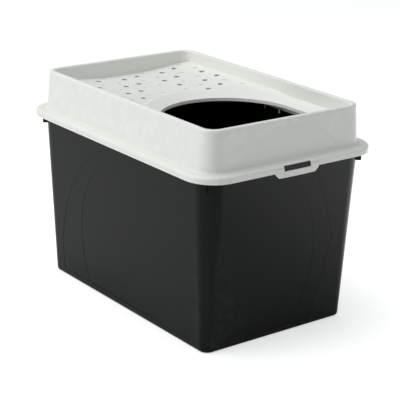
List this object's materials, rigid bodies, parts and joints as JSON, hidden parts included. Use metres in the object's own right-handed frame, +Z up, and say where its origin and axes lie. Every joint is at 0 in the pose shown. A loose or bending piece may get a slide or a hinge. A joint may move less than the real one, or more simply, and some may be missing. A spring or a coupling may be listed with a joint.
{
  "type": "top entry litter box",
  "caption": "Top entry litter box: deep black tub under an off-white lid with a dished, perforated deck, a D-shaped entry and a latch loop on each short end.",
  "frame": {"origin": "centre of the flat underside, on the floor the tub stands on", "axes": "+Z up; +Y along the length, from the entry end to the perforated end; +X across the width"},
  "size_m": [0.393, 0.572, 0.404],
  "materials": {
    "tub": "satin black",
    "lid": "satin off-white"
  },
  "bodies": {
    "tub_body": {"tub": "tub"},
    "lid_body": {"lid": "lid"},
    "front_loop_body": {"front_clip": "lid"},
    "rear_loop_body": {"rear_clip": "lid"}
  },
  "joints": [
    {"name": "lid_lift", "type": "slide", "parent": "tub_body", "child": "lid_body", "axis": [0, 0, 1], "range_m": [0, 0.12]},
    {"name": "front_loop_flex", "type": "hinge", "parent": "lid_body", "child": "front_loop_body", "pos_m": [0, -0.2845, 0.3255], "axis": [-1, 0, 0], "range_deg": [0, 8], "stiffness_Nm_per_rad": 1},
    {"name": "rear_loop_flex", "type": "hinge", "parent": "lid_body", "child": "rear_loop_body", "pos_m": [0, 0.2845, 0.3255], "axis": [1, 0, 0], "range_deg": [0, 8], "stiffness_Nm_per_rad": 1}
  ]
}
